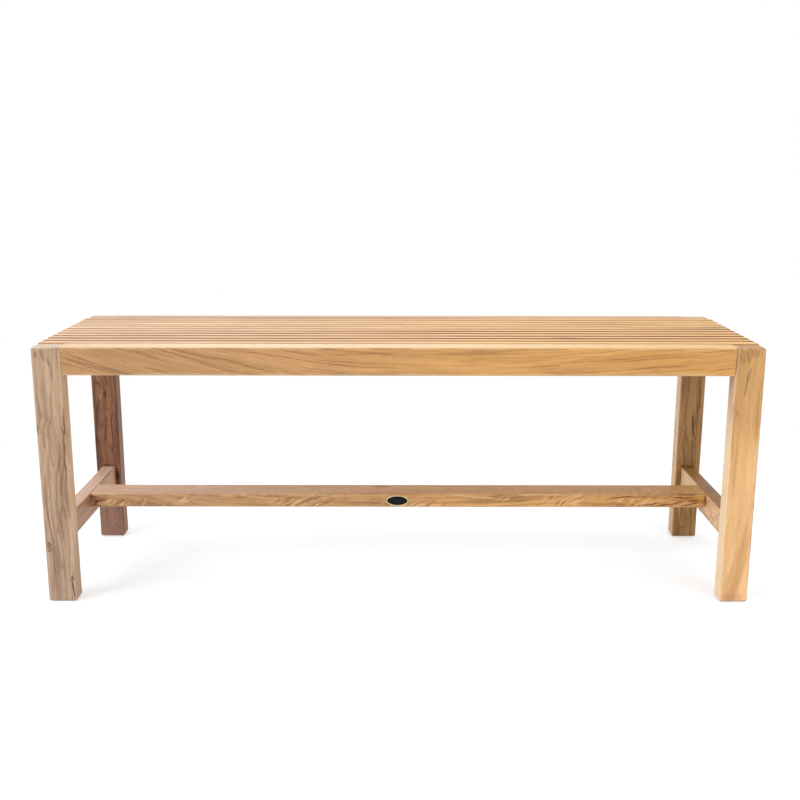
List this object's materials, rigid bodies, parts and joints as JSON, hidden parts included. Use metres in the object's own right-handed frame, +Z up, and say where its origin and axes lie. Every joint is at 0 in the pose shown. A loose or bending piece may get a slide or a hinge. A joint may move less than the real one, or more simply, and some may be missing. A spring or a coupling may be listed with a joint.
{
  "type": "slatted shower bench",
  "caption": "Backless slatted bench with four straight legs, long slats between two long rails, and an H-shaped stretcher near the floor.",
  "frame": {"origin": "on the floor, under the middle of the seat", "axes": "+X along the bench to the right as seen from the front, +Y to the back, +Z up"},
  "size_m": [1.2, 0.356, 0.445],
  "materials": {
    "teak_grey": "sanded, bare",
    "teak_umber": "sanded, bare",
    "teak_gold": "sanded, bare",
    "teak_olive": "sanded, bare",
    "teak_tan": "sanded, bare",
    "teak_cream": "sanded, bare",
    "teak_rose": "sanded, bare",
    "teak_pink": "sanded, bare",
    "stainless": "satin",
    "badge_metal": "satin",
    "badge_black": "gloss"
  },
  "bodies": {
    "root": {"leg_front_left": "teak_grey", "leg_front_right": "teak_gold", "leg_back_left": "teak_umber", "leg_back_right": "teak_olive", "rail_front": "teak_tan", "rail_back": "teak_cream", "end_rail_left": "teak_tan", "cross_rail_left": "teak_tan", "cross_rail_right": "teak_tan", "end_rail_right": "teak_tan", "slat_01": "teak_cream", "slat_02": "teak_rose", "slat_03": "teak_cream", "slat_04": "teak_cream", "slat_05": "teak_rose", "slat_06": "teak_cream", "slat_07": "teak_cream", "slat_08": "teak_rose", "slat_09": "teak_cream", "slat_10": "teak_cream", "slat_11": "teak_rose", "end_stretcher_left": "teak_pink", "end_stretcher_right": "teak_olive", "long_stretcher": "teak_pink", "rail_pegs": "teak_gold", "stretcher_pegs": "teak_gold", "slat_screws": "stainless", "badge_plate": "badge_metal", "badge_enamel": "badge_black"}
  },
  "joints": []
}
